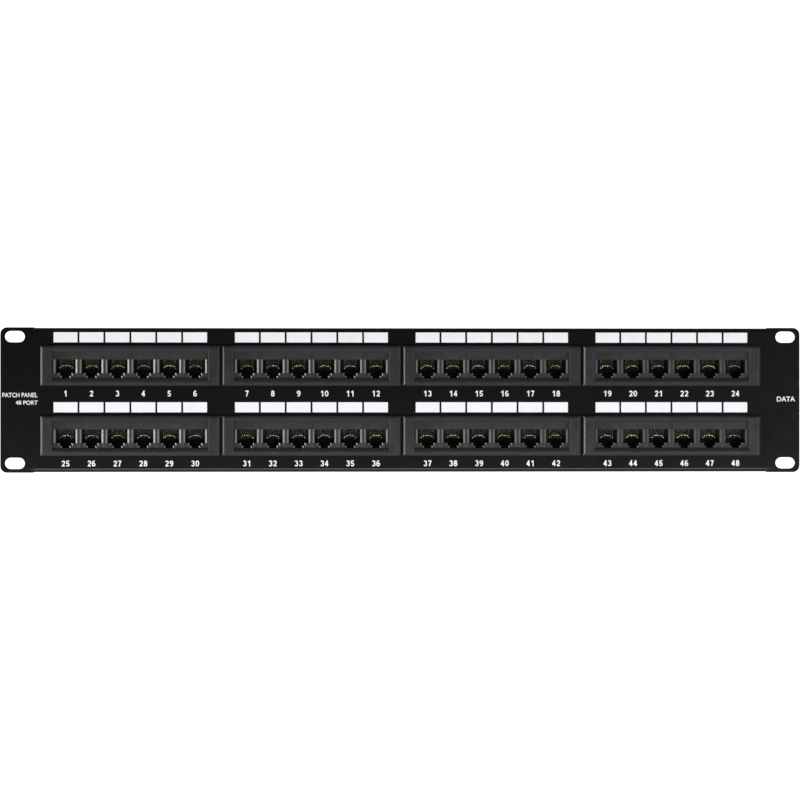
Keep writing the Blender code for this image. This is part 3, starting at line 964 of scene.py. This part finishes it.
def make_port_numbers(look, digits):
    """The printed numbers, one below each port."""
    y = sheet_front() - INK / 2
    shape = bmesh.new()
    for number, x, z in module_places():
        for port, offset in enumerate(port_offsets()):
            text = str((number - 1) * PORTS + port + 1)
            add_number(shape, digits, text, x + offset, y, z - NUMBER_DROP, NUMBER_HEIGHT)
    mesh = clean(shape, "port_numbers")
    mesh.materials.append(look)
    place("port_numbers", mesh, (0.0, 0.0, 0.0), "white_print")


def make_ear_lettering(look):
    """Plain generic words on the two ears."""
    y = sheet_front() - INK / 2
    shape = bmesh.new()
    for text, x, z, height, weight, width in EAR_WORDS:
        add_text(shape, text, x, y, z, height, weight, width)
    mesh = clean(shape, "ear_lettering")
    mesh.materials.append(look)
    place("ear_lettering", mesh, (0.0, 0.0, 0.0), "white_print")


# ---------------------------------------------------------------- CAD pieces that stay


def finish_cad_pieces(looks):
    """Soften and paint the CAD pieces whose shape is already right."""
    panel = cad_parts["front_panel"]
    paint(panel, looks["powder_coat"])
    soften(panel, PANEL_EDGE, weld=True)
    for number in range(1, MODULES + 1):
        for kind, look, width in (
            ("bezel", "bezel", BEZEL_EDGE),
            ("contact_carrier", "carrier", CARRIER_EDGE),
            ("circuit_board", "solder_mask", BOARD_EDGE),
        ):
            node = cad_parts[f"{kind}_{number}"]
            paint(node, looks[look])
            soften(node, width, weld=True)


# ---------------------------------------------------------------- stage, light and camera


def glow_material(name, colour, strength):
    """A plain pale surface that also gives off soft light."""
    made = bpy.data.materials.new(name)
    made.use_nodes = True
    surface = made.node_tree.nodes["Principled BSDF"]
    surface.inputs["Base Color"].default_value = (*colour, 1.0)
    surface.inputs["Roughness"].default_value = 0.9
    surface.inputs["Emission Color"].default_value = (*colour, 1.0)
    surface.inputs["Emission Strength"].default_value = strength
    return made


def stage_plane(name, size, location, rotation, look):
    """A flat piece of the studio."""
    bpy.ops.mesh.primitive_plane_add(size=1.0, location=location, rotation=rotation)
    plane = bpy.context.object
    plane.name = name
    plane.scale = (*size, 1.0)
    plane.data.materials.append(look)


def area_light(name, location, size, power):
    """A soft white rectangular light aimed at the panel."""
    data = bpy.data.lights.new(name, "AREA")
    data.shape = "RECTANGLE"
    data.size, data.size_y = size
    data.energy = power
    lamp = bpy.data.objects.new(name, data)
    bpy.context.scene.collection.objects.link(lamp)
    lamp.location = location
    lamp.visible_camera = False
    lamp.rotation_euler = (-Vector(location)).to_track_quat("-Z", "Y").to_euler()


def make_studio():
    """A pale floor and backdrop, side, front and low lights, and a dim surround."""
    pale = (0.97, 0.97, 0.97)
    flat = (0.0, 0.0, 0.0)
    upright = (math.pi / 2, 0.0, 0.0)
    stage_plane("floor", (14.0, 14.0), (0.0, 0.0, -1.95), flat, glow_material("floor", pale, 0.2))
    stage_plane("backdrop", (1.9, 1.7), (0.0, 2.9, 0.0), upright, glow_material("backdrop", pale, 1.05))
    area_light("left_light", location=(-1.5, -0.41, -0.07), size=(0.52, 0.9), power=24.0)
    area_light("right_light", location=(1.0, -0.5, -0.05), size=(0.25, 0.6), power=1.9)
    area_light("right_front_light", location=(0.85, -0.8, -0.05), size=(0.4, 0.5), power=3.0)
    area_light("low_light", location=(0.0, -0.27, -0.165), size=(1.1, 0.06), power=1.75)
    make_surround()
    bpy.context.scene.view_settings.view_transform = "Standard"


def make_surround():
    """A grey surround, darker in front of the panel so that the black sheet has nothing to mirror."""
    world = bpy.data.worlds.new("surround")
    bpy.context.scene.world = world
    world.use_nodes = True
    tree = world.node_tree
    direction = tree.nodes.new("ShaderNodeTexCoord")
    split = tree.nodes.new("ShaderNodeSeparateXYZ")
    tree.links.new(direction.outputs["Generated"], split.inputs["Vector"])
    fade = tree.nodes.new("ShaderNodeMapRange")
    fade.interpolation_type = "SMOOTHSTEP"
    fade.inputs["From Min"].default_value = FADE_START
    fade.inputs["From Max"].default_value = FADE_END
    fade.inputs["To Min"].default_value = SURROUND_FRONT
    fade.inputs["To Max"].default_value = SURROUND_REAR
    tree.links.new(split.outputs["Y"], fade.inputs["Value"])
    tree.links.new(fade.outputs["Result"], tree.nodes["Background"].inputs["Strength"])
    tree.nodes["Background"].inputs["Color"].default_value = (1.0, 1.0, 1.0, 1.0)


def make_camera():
    """A long lens a little to the left of square on, so that the left end is slightly larger."""
    data = bpy.data.cameras.new("camera")
    data.sensor_width = SENSOR
    data.lens = LENS
    camera = bpy.data.objects.new("camera", data)
    bpy.context.scene.collection.objects.link(camera)
    side = math.radians(CAMERA_SIDE)
    camera.location = (-CAMERA_DISTANCE * math.sin(side), -CAMERA_DISTANCE * math.cos(side), 0.0)
    camera.rotation_euler = (math.pi / 2, 0.0, -side + math.radians(CAMERA_AIM))
    bpy.context.scene.camera = camera


def main():
    """Build every piece round the CAD model, then the studio."""
    make_camera()
    looks = make_materials()
    finish_cad_pieces(looks)
    make_jack_blocks(looks["jack"])
    make_contacts(looks["gold"])
    make_terminations(looks)
    digits = digit_meshes()
    make_wiring_labels(looks, digits)
    make_boards(looks)
    make_screws(looks["zinc"])
    make_label_blocks(looks["white_ink"])
    make_port_numbers(looks["white_ink"], digits)
    make_ear_lettering(looks["white_ink"])
    make_studio()


main()
